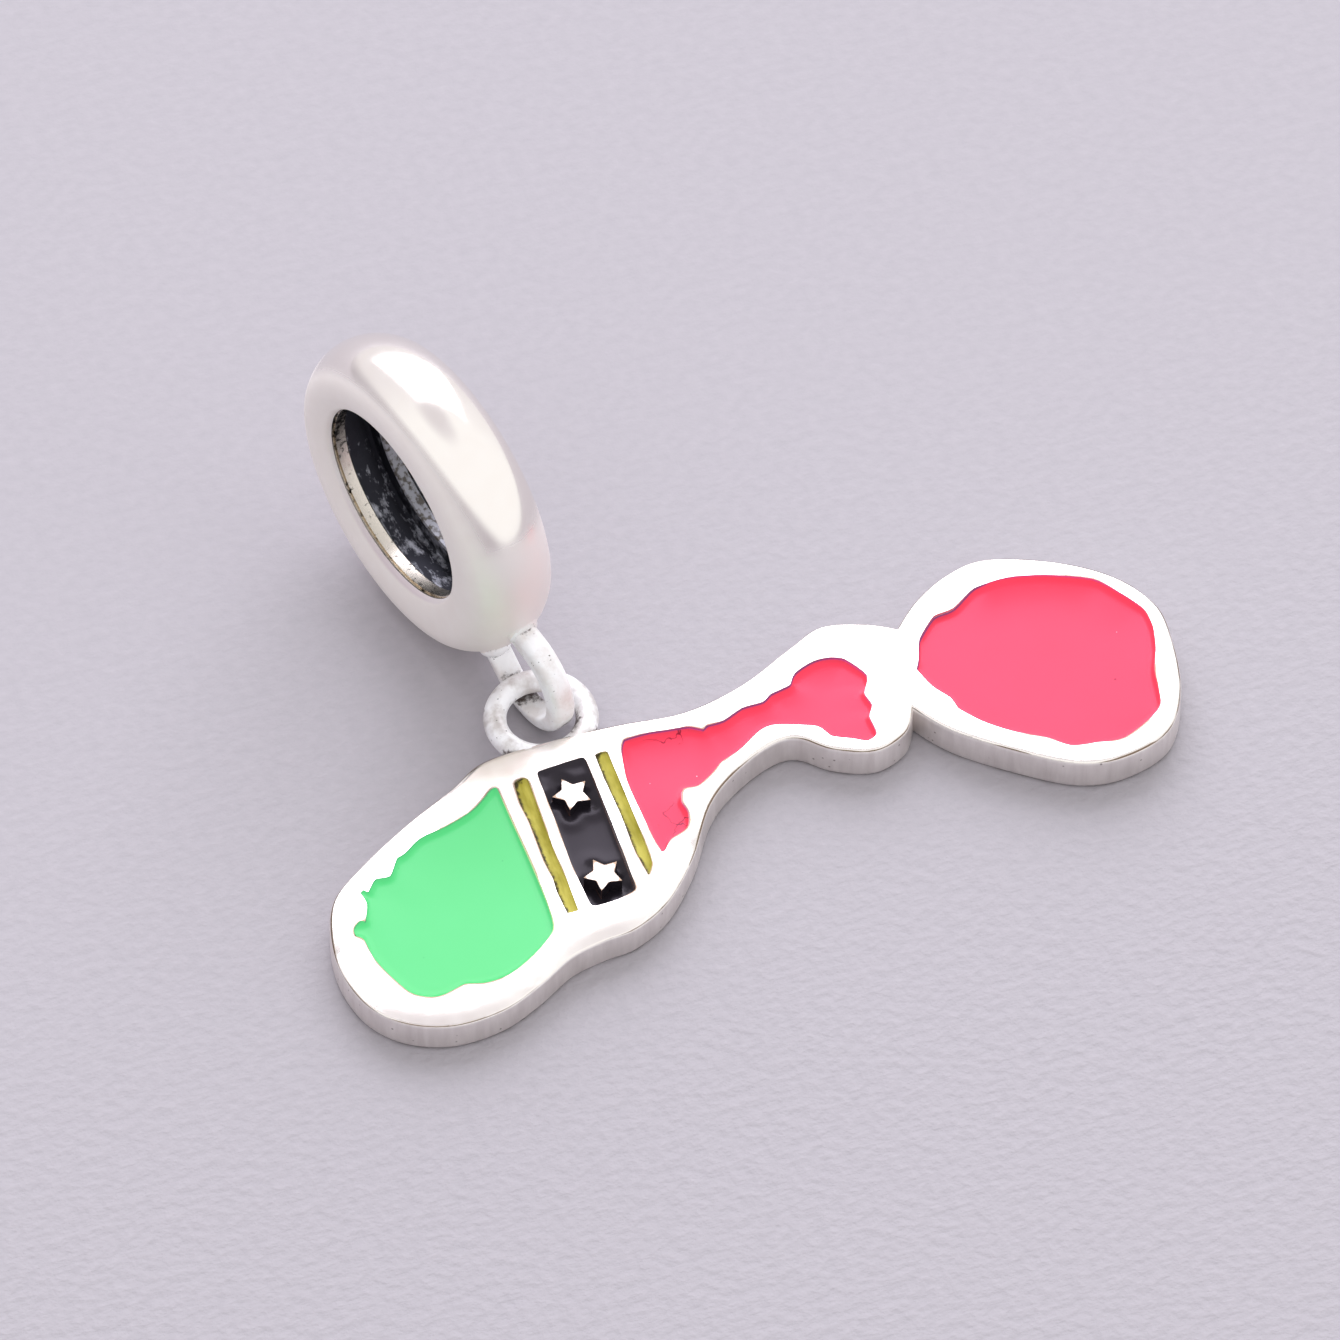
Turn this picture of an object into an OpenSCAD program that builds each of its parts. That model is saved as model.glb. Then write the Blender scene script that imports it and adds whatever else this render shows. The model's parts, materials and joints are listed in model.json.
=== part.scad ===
/* [Map plate] */
// Thickness of the cast plate
plate_t = 1.05; // [1.05:0.05:1.2]
// Depth of the sunk cells that hold the enamel
cell_depth = 0.45; // [0.3:0.05:0.6]
// How far each enamel lies below the polished silver
enamel_drop = 0.04; // [0.02:0.01:0.1]
// Gap between an enamel and its cell, wall and floor
enamel_gap = 0.02; // [0.01:0.005:0.03]

/* [Stars] */
// Distance from a star's middle to its tips
star_tip_r = 0.5; // [0.42:0.01:0.52]
// Distance from a star's middle to its notches
star_notch_r = 0.27; // [0.22:0.01:0.3]
// Direction of a star's first tip
star_turn = 30; // [0:1:71]

/* [Plate ring] */
// Outer diameter of the ring that is soldered to the plate
ring_d = 2.88; // [2.84:0.02:2.92]
// Thickness of the ring's wire
ring_wire = 0.58; // [0.5:0.02:0.58]

/* [Bead] */
// Outer diameter of the bead
bead_d = 8.6; // [8.4:0.1:9]
// Width of the bead along its bore
bead_w = 2.4; // [2.3:0.1:2.6]
// Diameter of the bore at the lips
bore_d = 5.3; // [5:0.1:5.4]
// How far the bore lies off the bead's middle, away from the bail
bore_off = 0.2; // [0:0.02:0.3]
// Width of each lip along the bore
lip_w = 0.45; // [0.3:0.05:0.6]
// Diameter of the hollow between the lips
hollow_d = 6.5; // [5.8:0.1:6.8]
// How far the bead's bore is turned from the plate's long side
bead_turn = 16.8; // [15:0.1:18]

/* [Bail] */
// Width of the bail's strip along the bore
bail_w = 0.65; // [0.55:0.01:0.7]
// Outer radius of the bail's loop
bail_r = 1.56; // [1.56:0.01:1.6]
// Radius of the opening in the bail's loop
bail_hole_r = 1.14; // [1.13:0.01:1.16]
// Thickness of the bail's strip at its lowest place
bail_sole = 0.32; // [0.28:0.01:0.32]
// How far the bail clears the surface that the charm lies on
bail_lift = 0.02; // [0.01:0.01:0.03]

/* [Hidden] */

// Finishes
silver = "#d8d4d6";
green = "#5fe585";
black = "#2d2a30";
yellow = "#c8c33f";
red = "#ff5478";

// Curve steps between two rows of an outline
plate_steps = 6;
cell_steps = 4;
round_fn = 96;
// Amount by which a cutter runs past what it cuts
past = 0.5;

// Outline of the two joined islands, seen from above
// Columns: x, y, round (1 is a smooth bend, 0 is a sharp corner)
PLATE = [
    [-2.6, -1.48, 1], [-4.4, -1.4, 1], [-6.1, -1.48, 1], [-7.1, -2, 1],
    [-8.5, -2.66, 1], [-9.9, -3.47, 1], [-10.9, -4.25, 1], [-11.33, -5.3, 1],
    [-11.4, -6.4, 1], [-11.1, -7.5, 1], [-10.4, -8.3, 1], [-9.3, -8.76, 1],
    [-8, -8.72, 1], [-6.9, -8.3, 1], [-5.9, -7.76, 1], [-5, -7.56, 1],
    [-4.1, -7.46, 1], [-3.1, -6.95, 1], [-2.1, -5.9, 1], [-1.2, -4.58, 1],
    [-0.3, -3.85, 1], [0.8, -3.35, 1], [1.5, -3.37, 1], [2.2, -3.96, 1],
    [3.2, -4.36, 1], [4.1, -4.08, 1], [4.52, -3.45, 0], [5.2, -4.4, 1],
    [6.5, -5.5, 1], [7.8, -6.35, 1], [9, -6.55, 1], [10.3, -6.15, 1],
    [11.05, -5, 1], [11.38, -3.4, 1], [11.33, -2.3, 1], [10.65, -1.2, 1],
    [9.4, -0.28, 1], [7.8, 0.35, 1], [6.7, 0.22, 1], [5.7, -0.3, 1],
    [4.98, -0.95, 0], [4.3, -0.57, 1], [3.2, -0.28, 1], [2.22, -0.65, 1],
    [0.7, -1.33, 1], [-0.9, -1.65, 1]
];
// Shore of the green enamel
GREEN = [
    [-6.03, -2.42, 0.3], [-6.2, -2.38, 1], [-6.45, -2.57, 1], [-6.9, -2.85, 1],
    [-7.6, -3.07, 1], [-8.3, -3.2, 1], [-8.8, -3.5, 1], [-9.05, -3.6, 0.5],
    [-9.37, -4.04, 0.6], [-9.75, -4.02, 0.6], [-10.03, -4.32, 0.3], [-10.12, -4.23, 0.5],
    [-10.22, -4.3, 0.3], [-10.17, -4.65, 1], [-10.37, -5.13, 0.3], [-10.5, -5.09, 1],
    [-10.7, -5.25, 1], [-10.74, -5.47, 0.2], [-10.57, -5.64, 0.6], [-10.5, -6.3, 1],
    [-10.2, -7.1, 1], [-9.9, -7.6, 1], [-9.35, -7.84, 1], [-8.65, -7.7, 0.5],
    [-8.05, -7.84, 1], [-7.3, -7.7, 1], [-6.3, -7.1, 1], [-5.97, -6.5, 1],
    [-5.95, -4.5, 0.2]
];
// Band of black enamel
BLACK = [
    [-4.85, -2.22, 0.4], [-4.96, -2.35, 0.4], [-4.98, -3.9, 0.2], [-5.03, -5.1, 0.2],
    [-4.98, -6.4, 0.4], [-4.85, -6.54, 0.5], [-4.3, -6.53, 0.3], [-3.85, -6.42, 0.6],
    [-3.74, -6.25, 0.4], [-3.68, -4.3, 0.2], [-3.67, -2.35, 0.4], [-3.78, -2.17, 0.4]
];
// Left stripe of yellow enamel
YELLOW_LEFT = [
    [-5.36, -2.28, 0.6], [-5.58, -2.37, 0.4], [-5.65, -3, 0.4], [-5.61, -3.6, 0.4],
    [-5.64, -4.8, 0.3], [-5.6, -5.4, 0.4], [-5.64, -5.8, 0.4], [-5.6, -6.52, 0.1],
    [-5.31, -6.52, 0.1], [-5.28, -5.5, 0.4], [-5.3, -4.6, 0.4], [-5.22, -2.4, 0.2]
];
// Right stripe of yellow enamel, cut to a point by the shore
YELLOW_RIGHT = [
    [-3.25, -2.17, 0.4], [-3.42, -2.21, 0.2], [-3.43, -3, 0.4], [-3.4, -4.2, 0.4],
    [-3.42, -5.2, 0.4], [-3.34, -6.08, 0.2], [-3.13, -5.75, 0.6], [-3.09, -5.1, 0.4],
    [-3.08, -3.5, 0.4], [-3.09, -2.22, 0.2]
];
// Shore of the red enamel on the long peninsula
RED = [
    [-2.58, -1.99, 0.4], [-2.77, -2.35, 0.8], [-2.92, -3.2, 0.6], [-2.92, -3.8, 0.3],
    [-2.86, -5.1, 0.4], [-2.8, -5.52, 0.2], [-2.7, -5.5, 0.3], [-2.45, -5.23, 0.8],
    [-1.95, -5.02, 1], [-1.78, -4.6, 0.8], [-1.83, -4.25, 0.5], [-1.68, -3.9, 0.8],
    [-1.3, -3.92, 0.8], [-0.85, -3.68, 0.6], [-0.5, -3.42, 0.6], [0.05, -3.22, 0.8],
    [0.7, -2.84, 0.8], [1.15, -2.8, 0.8], [2.08, -3.17, 0.6], [2.32, -3.57, 0.5],
    [2.8, -3.82, 0.8], [3.12, -4, 0.6], [3.42, -3.86, 0.8], [3.42, -3.32, 0.6],
    [3.6, -3, 0.6], [3.54, -2.6, 0.6], [3.78, -2.1, 0.8], [3.42, -1.45, 0.6],
    [3.1, -1.28, 0.4], [2.65, -1.25, 1], [2.1, -1.45, 1], [1.86, -1.75, 0.4],
    [1.32, -1.86, 0.4], [1.05, -2.02, 0.7], [0.5, -2.03, 0.8], [-0.05, -2.24, 0.8],
    [-0.5, -2.25, 0.3], [-0.62, -2.33, 0.3], [-0.95, -2.13, 0.5], [-1.5, -2.05, 0.6],
    [-1.95, -1.98, 0.4]
];
// Shore of the red enamel on the small island
RED_SMALL = [
    [5, -2.33, 0.1], [5.2, -2.95, 1], [5.5, -3.42, 0.8], [5.58, -3.8, 0.3],
    [6, -4.35, 0.8], [6.6, -4.88, 0.8], [7.4, -5.38, 0.6], [7.85, -5.78, 0.8],
    [8.5, -5.9, 0.4], [9.2, -5.98, 0.8], [10.25, -5.47, 1], [10.48, -4.95, 0.8],
    [10.6, -4.3, 0.8], [10.87, -3.65, 0.4], [11.03, -3, 0.6], [10.98, -2.4, 0.8],
    [10.6, -1.75, 0.6], [10.1, -1.13, 0.8], [9, -0.62, 0.6], [8.1, -0.39, 0.4],
    [7.2, -0.43, 0.6], [6.5, -0.84, 0.8], [5.95, -0.92, 0.6], [5.38, -1.47, 0.5],
    [5.15, -2.05, 0.6]
];
// Middles of the two raised stars
STARS = [[-4.33, -3.13], [-4.38, -5.69]];

// Side of the bead, where it stands on the surface that the plate lies on
bead_at = [-5.51, 4.53];
// The bead's section, from its middle out: the crown, the shoulders and the sides are arcs
bead_r = bead_d / 2;
half_w = bead_w / 2;
shoulder_r = 0.7;
wide_r = bead_r - 0.9;
shoulder_a = half_w - shoulder_r;
crown_r = ((bead_r - wide_r) ^ 2 + shoulder_a ^ 2 - shoulder_r ^ 2) / (2 * (bead_r - wide_r - shoulder_r));
crown_at = bead_r - crown_r;
side_drop = 0.22;
side_run = wide_r - bore_d / 2;
side_r = (side_run ^ 2 + side_drop ^ 2) / (2 * side_drop);
hollow_w = 2 * (half_w - side_drop - lip_w);

// The plate ring lies in the plate, just under its polished top
ring_at = [-4.25, -0.5];
ring_z = plate_t - ring_wire / 2 - 0.01;
ring_r = (ring_d - ring_wire) / 2;

// The bail's loop and its opening, in the bead's own plane: out from the bead's middle, and up
loop_at = [4.38, bail_r + bail_lift - bead_r];
hole_at = [4.32, bail_hole_r + bail_sole + bail_lift - bead_r];
// How steeply the upper and the lower leg climb towards the bead, and how long they are
leg_up = 8;
leg_low = 42;
leg_long = 1.2;

// The origin is under the middle of the whole charm's box
plate_curve = outline(PLATE, plate_steps);
left_x = min([for (p = plate_curve) p[0]]);
right_x = max([for (p = plate_curve) p[0]]);
front_y = min([for (p = plate_curve) p[1]]);
back_y = bead_at[1] + crown_at * cos(bead_turn) + crown_r;
middle = [(left_x + right_x) / 2, (front_y + back_y) / 2];

// Point on the smooth stretch from row a to row b, with rows before and after as guides
function on_curve(before, a, b, after, u) =
    let (
        from = [a[0], a[1]],
        to = [b[0], b[1]],
        leave = a[2] * [b[0] - before[0], b[1] - before[1]] / 2,
        arrive = b[2] * [after[0] - a[0], after[1] - a[1]] / 2
    )
    (2 * u ^ 3 - 3 * u ^ 2 + 1) * from + (u ^ 3 - 2 * u ^ 2 + u) * leave
    + (3 * u ^ 2 - 2 * u ^ 3) * to + (u ^ 3 - u ^ 2) * arrive;

// Closed curve through the rows of a table
function outline(rows, steps) =
    let (count = len(rows))
    [for (i = [0 : count - 1], k = [0 : steps - 1])
        on_curve(rows[(i + count - 1) % count], rows[i], rows[(i + 1) % count],
                 rows[(i + 2) % count], k / steps)];

// The same curve moved inwards by a gap; the points run anticlockwise
function inset(points, gap) =
    let (count = len(points))
    [for (i = [0 : count - 1])
        let (
            back = points[i] - points[(i + count - 1) % count],
            ahead = points[(i + 1) % count] - points[i],
            run = back / norm(back) + ahead / norm(ahead)
        )
        points[i] + gap * [-run[1], run[0]] / norm(run)];

module star(grow = 0) {
    polygon([for (i = [0 : 9])
        let (r = (i % 2 == 0 ? star_tip_r : star_notch_r) + grow)
        r * [cos(star_turn + 36 * i), sin(star_turn + 36 * i)]]);
}

module stars(grow = 0) {
    for (place = STARS) translate(place) star(grow);
}

module sunk_cell(rows) {
    translate([0, 0, plate_t - cell_depth])
        linear_extrude(cell_depth + past) polygon(outline(rows, cell_steps));
}

module enamel(rows) {
    translate([0, 0, plate_t - cell_depth + enamel_gap])
        linear_extrude(cell_depth - enamel_gap - enamel_drop)
            polygon(inset(outline(rows, cell_steps), enamel_gap));
}

module ring_of_wire(radius, wire) {
    rotate_extrude($fn = round_fn) translate([radius, 0]) circle(wire / 2, $fn = 32);
}

// Half of the bead's section, cut where the bore will pass
module bead_section() {
    crown_turn = atan2(shoulder_a, wide_r - crown_at);
    reach = 2 * crown_r;
    intersection() {
        translate([crown_at, 0]) circle(crown_r, $fn = round_fn);
        translate([crown_at, 0])
            polygon([[0, 0], reach * [cos(crown_turn), -sin(crown_turn)],
                     reach * [cos(crown_turn), sin(crown_turn)]]);
    }
    for (side = [-1, 1]) {
        translate([wide_r, side * shoulder_a]) circle(shoulder_r, $fn = round_fn);
        intersection() {
            translate([wide_r, side * (half_w - side_r)]) circle(side_r, $fn = round_fn);
            translate([wide_r - side_r / 2, side * half_w / 2])
                square([side_r, half_w], center = true);
        }
    }
    translate([crown_at, -shoulder_a]) square([wide_r - crown_at + shoulder_r / 2, 2 * shoulder_a]);
}

// A round loop whose two legs run on towards the bead
module loop(radius, leg) {
    top = radius * [sin(leg_up), cos(leg_up)];
    foot = -radius * [sin(leg_low), cos(leg_low)];
    circle(radius, $fn = round_fn);
    polygon([foot, top, top + leg * [-cos(leg_up), sin(leg_up)], foot + leg * [-cos(leg_low), sin(leg_low)]]);
}

// The bail's strip from the side
module bail_shape() {
    difference() {
        translate(loop_at) loop(bail_r, leg_long);
        translate(hole_at) loop(bail_hole_r, leg_long + past);
    }
}

// The bead before it is placed: its bore runs along Z and its bail reaches out along X, below the middle
module bead_upright() {
    difference() {
        rotate_extrude($fn = round_fn) bead_section();
        translate([-bore_off, 0, 0]) cylinder(h = bead_w + past, d = bore_d, center = true, $fn = round_fn);
        translate([-bore_off, 0, 0]) cylinder(h = hollow_w, d = hollow_d, center = true, $fn = round_fn);
    }
    linear_extrude(bail_w, center = true) bail_shape();
}

module bead() {
    color(silver)
        translate([bead_at[0] - middle[0], bead_at[1] - middle[1], bead_r])
            rotate([0, 0, bead_turn - 90]) rotate([90, 0, 0]) bead_upright();
}

module on_plate() {
    translate([-middle[0], -middle[1], 0]) children();
}

module map_plate() {
    color(silver) on_plate() difference() {
        union() {
            linear_extrude(plate_t) polygon(plate_curve);
            translate([ring_at[0], ring_at[1], ring_z]) ring_of_wire(ring_r, ring_wire);
        }
        for (rows = [GREEN, YELLOW_LEFT, YELLOW_RIGHT, RED, RED_SMALL]) sunk_cell(rows);
        difference() {
            sunk_cell(BLACK);
            linear_extrude(plate_t + 2 * past) stars();
        }
    }
}

module green_enamel() {
    color(green) on_plate() enamel(GREEN);
}

module black_enamel() {
    color(black) on_plate() difference() {
        enamel(BLACK);
        linear_extrude(plate_t + past) stars(2 * enamel_gap);
    }
}

module yellow_stripe_left() {
    color(yellow) on_plate() enamel(YELLOW_LEFT);
}

module yellow_stripe_right() {
    color(yellow) on_plate() enamel(YELLOW_RIGHT);
}

module red_enamel() {
    color(red) on_plate() enamel(RED);
}

module red_enamel_small() {
    color(red) on_plate() enamel(RED_SMALL);
}

bead();
map_plate();
green_enamel();
black_enamel();
yellow_stripe_left();
yellow_stripe_right();
red_enamel();
red_enamel_small();
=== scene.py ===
# Bead charm: a polished silver bead with a soldered bail, hooked through the ring of an enamelled plate
import json
import math

import bmesh
import bpy
from mathutils import Euler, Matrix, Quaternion, Vector


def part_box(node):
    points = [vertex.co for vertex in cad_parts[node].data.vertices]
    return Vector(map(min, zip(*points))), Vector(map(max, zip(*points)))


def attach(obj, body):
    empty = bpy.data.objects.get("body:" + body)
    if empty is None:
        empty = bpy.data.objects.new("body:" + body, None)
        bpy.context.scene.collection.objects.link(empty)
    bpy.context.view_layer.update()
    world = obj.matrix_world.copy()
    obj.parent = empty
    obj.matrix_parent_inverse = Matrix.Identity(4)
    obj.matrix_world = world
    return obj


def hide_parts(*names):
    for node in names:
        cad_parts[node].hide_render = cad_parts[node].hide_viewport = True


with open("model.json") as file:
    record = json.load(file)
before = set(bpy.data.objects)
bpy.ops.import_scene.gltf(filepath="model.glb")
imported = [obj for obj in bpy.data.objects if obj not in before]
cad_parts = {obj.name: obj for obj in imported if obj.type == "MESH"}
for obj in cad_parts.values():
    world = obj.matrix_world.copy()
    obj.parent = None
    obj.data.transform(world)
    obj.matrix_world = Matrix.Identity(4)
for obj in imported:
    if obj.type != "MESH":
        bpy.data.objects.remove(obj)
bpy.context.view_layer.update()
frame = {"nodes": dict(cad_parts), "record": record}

# Pieces are modelled in millimetres, and made metres when they are finished
MM = 0.001

# Places that the frame gives, in millimetres
BORE = next(mount for mount in frame["record"]["mounts"] if mount["name"] == "bead_bore")
BORE_AXIS = Vector(BORE["axis"])
BAIL_WAY = Vector((BORE_AXIS.y, -BORE_AXIS.x, 0))
BEAD_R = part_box("bead")[1].z / MM / 2
# The bore lies this far off the bead's middle, away from the bail
BORE_OFF = 0.2
BEAD_AT = Vector(BORE["pos_m"]) / MM + BORE_OFF * BAIL_WAY
PLATE_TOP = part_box("map_plate")[1].z / MM
# The enamels' solids stand this far above the floors of their cells
CELL_GAP = 0.02
CELL_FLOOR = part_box("green_enamel")[0].z / MM - CELL_GAP
ENAMEL_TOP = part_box("green_enamel")[1].z / MM

# How far past a surface a test still takes its faces and points
MARGIN = 0.02
# A face lies on a surface that it is this near to
CLOSE = 0.004
# Points this near each other are merged, in a copy of a CAD mesh and where a turned mesh meets itself
CAD_WELD = 0.001
TURNED_WELD = 0.0005
# A slice takes points this near to it as its own
SLICE_SNAP = 0.0001
# Faces whose angle is below this are one flat face, in degrees
FLAT_ANGLE = 0.3

# The bead's own frame: its bore along Z, its bail towards +X, its top towards +Y
BEAD_TURN = Euler((math.pi / 2, 0, math.atan2(BAIL_WAY.y, BAIL_WAY.x)))

# Bead, as in the solid: crown, shoulders, sides and the roll of the lips are arcs
BEAD_STEPS = 192
HALF_W = 1.2
SHOULDER_R = 0.7
WIDE_R = 3.4
SHOULDER_AT = HALF_W - SHOULDER_R
CROWN_AT = 2.875
CROWN_R = BEAD_R - CROWN_AT
SIDE_R = 1.388
SIDE_END = 115.6
LIP_ROLL = 0.229
CROWN_STEPS = 12
ARC_STEPS = 8
# The bore, the groove between a lip's roll and its flat face, and how far the groove's slopes run
LIP_R = 2.65
LIP_FROM = 0.79
GROOVE = 0.07
GROOVE_SLOPES = (0.015, 0.02)
# The hollow between the lips, and how far its edge and its bottom's corner are broken
HOLLOW_W = 0.46
HOLLOW_R = 3.25
LIP_BREAK = 0.04
HOLLOW_BREAK = 0.1
# How far round the moved bore the bead's sides follow it
BORE_FOLLOW = 0.7
# The lips' own finish reaches this far out from the bore, past the groove, and this far past the roll
LIP_DEEP = 0.1
LIP_PAST = 0.03

# Bail: outer and inner circle, and its two legs, in the bead's own frame
BAIL_W = 0.65
BAIL_STEPS = 96
BAIL_OUTER = (Vector((4.38, -2.72, -BAIL_W / 2)), 1.56)
BAIL_INNER = (Vector((4.32, -2.82, -BAIL_W / 2)), 1.14)
LEG_UP = math.radians(8)
LEG_LOW = math.radians(42)
LEG_LONG = 1.2
# How far the strip's outer and inner edges are rounded, and in how many steps
BAIL_CROWN = (0.18, 6)
BAIL_INSIDE = (0.08, 3)
# An edge across the strip's end is longer than this, and lies within this many degrees of the end
END_LONG = 0.25
END_TURN = 4
# Along the strip's edges, its two faces' normals differ this much in how far they look along the bore
EDGE_TURN = 0.8
# Fillets of solder at its roots, in the bead's own frame: middle and half sizes
BAIL_SOLDER = [
    (Vector((4.06, -1.26, 0)), Vector((0.2, 0.4, 0.44))),
    (Vector((2.86, -3.2, 0)), Vector((0.34, 0.26, 0.44))),
]

# Ring of the plate
RING_AT = Vector((-4.2504, -0.4548, 0.75))
RING_R = 1.15
RING_WIRE = 0.58
RING_STEPS = 96
WIRE_STEPS = 24
# How far the ring's wire runs on inside the plate's outline
RING_SUNK = 0.12
# A face with fewer corners than this is one of the small ones round the plate's outline
RIM_CORNERS = 20

# Plate: how high and how far in its foot is rounded, and the rounding's steps in degrees
PLATE_FOOT = 0.18
PLATE_FOOT_IN = 0.8 * PLATE_FOOT
FOOT_TURNS = (0, 22, 45, 68, 90)
# A face that looks down by more than this is the underside's
UNDER_LIMIT = 0.9
# The rounding of its upper edge and its steps in degrees, and the flat rows of faces inside that: how far in
# they reach, and the share of it where each ends
PLATE_ROUND = 0.12
ROUND_TURNS = (0, 20, 40, 60, 78)
PLATE_ROLL = 0.36
ROLL_SHARES = (0.15, 0.35, 0.6, 1)
# The plate's top is cut into squares of this size, so that its shading stays even
PLATE_GRID = 0.5
# How far the front edge is pressed down, and how wide the soft fall to it is
PLATE_DROP = 0.08
PLATE_FALL = 0.7
# Only the broad end's front edge falls softly: from here to the left, and where the edge looks this way by
# this much
PRESSED_TO = -2.0
PRESSED_WAY = Vector((-0.2, -0.98, 0))
PRESSED_LIMIT = 0.05
# Faces of the rounded edge look up by more than the first and less than the second
EDGE_LOOKS = (0.01, 0.98)
# Faces that look up or down by less than this were not buffed. It lies between two rows of the rounded edge
CAST_LIMIT = 0.64
# Faces that look up or down by less than this are walls
WALL_LIMIT = 0.5
# How far the tool that cuts the cells stands above the plate
CUTTER_PAST = 0.2

# The enamels' tops are cut finer, so that they can be dished
ENAMEL_GRID = 0.08
# An enamel's shore is an edge this far above the floor, whose faces meet at more than this, in radians
SHORE_UP = 0.1
SHORE_ANGLE = 1
# A shore is on one side of its cell where its wall looks that way by this much
SIDE_LIMIT = 0.35
# How high and how far the enamel climbs every shore
SHORE_RISE = 0.05
SHORE_REACH = 0.18
# Middles of the two stars, and the circle round each that holds the star and the edge of the enamel
STARS = [Vector((-4.3304, -3.0848)), Vector((-4.3804, -5.6448))]
STAR_REACH = 0.56
# How far the enamel sinks round a star, how wide that is, and how high its rim stands
MOAT = 0.045
MOAT_REACH = 0.3
MOAT_RIM = 0.05
# Dust in the enamels, dark and light: specks to a millimetre, and their size as a share of their spacing
DUST = ((0.9, 0.03), (1.5, 0.018))
# Places in the red enamel with hairline cracks, and how far they reach
CRACKS = [((-2.05, -4.63, 1), 0.6), ((-1.52, -1.9, 1), 0.65)]

# Ways from an enamel to the walls beside which it thins out
UP_LEFT = (-0.5, 0.75, 0.4)
UP_RIGHT = (0.45, 0.8, 0.4)
DOWN_RIGHT = (0.5, -0.77, 0.4)
DOWN = (0.3, -0.85, 0.4)
SLOT_LEFT = (-0.8, 0.45, 0.4)
# The sides that the enamels climb most: at the broad end, in the neck and on the small island
BROAD_SIDE = Vector((-0.3, 0.95, 0))
NECK_SIDE = Vector((0.4, 0.9, 0))
ISLAND_SIDE = Vector((0.8, 0.6, 0))

# The card under the charm, in metres
FLOOR_SIDE = 1.6
# The softbox behind the charm: the way to it, its distance and sides in metres, its roll in degrees, and how
# bright its face is
KEY_WAY = Vector((0.24, 0.74, 0.63)).normalized()
KEY_AWAY = 0.55
KEY_SIDES = (0.63, 0.52)
KEY_ROLL = 16
KEY_RADIANCE = 3.2

# The camera, from the front left: its height and turn, the place that it looks at, its distance, how much it
# sees across, and its sensor's width
CAMERA_HEIGHT = math.radians(54)
CAMERA_TURN = math.radians(-19)
LOOK_AT = Vector((-0.5504, 0.4452, -0.05))
CAMERA_AWAY = 330
SEEN_ACROSS = 33.5
SENSOR = 36


def only(piece):
    """Selects one piece and nothing else."""
    bpy.ops.object.select_all(action="DESELECT")
    piece.select_set(True)
    bpy.context.view_layer.objects.active = piece


def edit(piece):
    """Opens one piece in edit mode with all of it selected."""
    only(piece)
    bpy.ops.object.mode_set(mode="EDIT")
    bpy.ops.mesh.select_mode(type="FACE")
    bpy.ops.mesh.select_all(action="SELECT")


def done():
    """Leaves edit mode."""
    bpy.ops.object.mode_set(mode="OBJECT")


def pick(piece, kind, test):
    """In edit mode, selects the vertices, edges or faces that pass a test."""
    bpy.ops.mesh.select_mode(type=kind)
    bpy.ops.mesh.select_all(action="DESELECT")
    mesh = bmesh.from_edit_mesh(piece.data)
    mesh.normal_update()
    for part in {"VERT": mesh.verts, "EDGE": mesh.edges, "FACE": mesh.faces}[kind]:
        if test(part):
            part.select_set(True)
    bmesh.update_edit_mesh(piece.data)


def extrude(way):
    """In edit mode, extrudes what is selected."""
    bpy.ops.mesh.extrude_region_move(TRANSFORM_OT_translate={"value": way})


def face_out():
    """In edit mode, selects all of a closed mesh and makes it point outwards."""
    bpy.ops.mesh.select_all(action="SELECT")
    bpy.ops.mesh.normals_make_consistent(inside=False)


def inset_rows(rows):
    """In edit mode, insets the selected faces from row to row. A row is how far in and how high it lies."""
    for (before_in, before_up), (after_in, after_up) in zip(rows, rows[1:]):
        bpy.ops.mesh.inset(thickness=after_in - before_in, depth=after_up - before_up,
                           use_even_offset=True)


def settle(piece):
    """Gives a piece's place, turn and size to its mesh."""
    only(piece)
    bpy.ops.object.transform_apply(location=True, rotation=True, scale=True)


def modify(piece, kind, **settings):
    """Adds a modifier with its settings and applies it."""
    only(piece)
    bpy.ops.object.modifier_add(type=kind)
    for name, value in settings.items():
        setattr(piece.modifiers[-1], name, value)
    bpy.ops.object.modifier_apply(modifier=piece.modifiers[-1].name)


def combine(piece, other, how):
    """Adds another closed mesh to a piece or cuts it away, and deletes the other."""
    modify(piece, "BOOLEAN", operation=how, solver="EXACT", object=other)
    bpy.data.objects.remove(other)


def blob(place, radii):
    """A lump of solder: a round lump with its own half sizes."""
    bpy.ops.object.select_all(action="DESELECT")
    bpy.ops.mesh.primitive_ico_sphere_add(subdivisions=4, radius=1, location=place, scale=radii)
    lump = bpy.context.object
    settle(lump)
    return lump


def arc(centre, radius, start, end, steps):
    """Points on an arc, from one angle to another in degrees."""
    turns = [math.radians(start + (end - start) * i / steps) for i in range(steps + 1)]
    return [Vector((centre[0] + radius * math.cos(t), 0, centre[1] + radius * math.sin(t))) for t in turns]


def rounding(inward, upward, turns):
    """The rows of a rounded edge: how far in and how high each lies."""
    turns = [math.radians(turn) for turn in turns]
    return [(inward * (1 - math.cos(turn)), upward * math.sin(turn)) for turn in turns]


def drawn_line(name, points):
    """A line through the points, drawn by extruding one vertex."""
    bpy.ops.object.select_all(action="DESELECT")
    bpy.ops.mesh.primitive_plane_add(size=1)
    piece = bpy.context.object
    piece.name = name
    edit(piece)
    bpy.ops.mesh.select_mode(type="VERT")
    bpy.ops.mesh.merge(type="CENTER")
    bpy.ops.transform.translate(value=points[0])
    for before, after in zip(points, points[1:]):
        extrude(after - before)
    done()
    return piece


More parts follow.
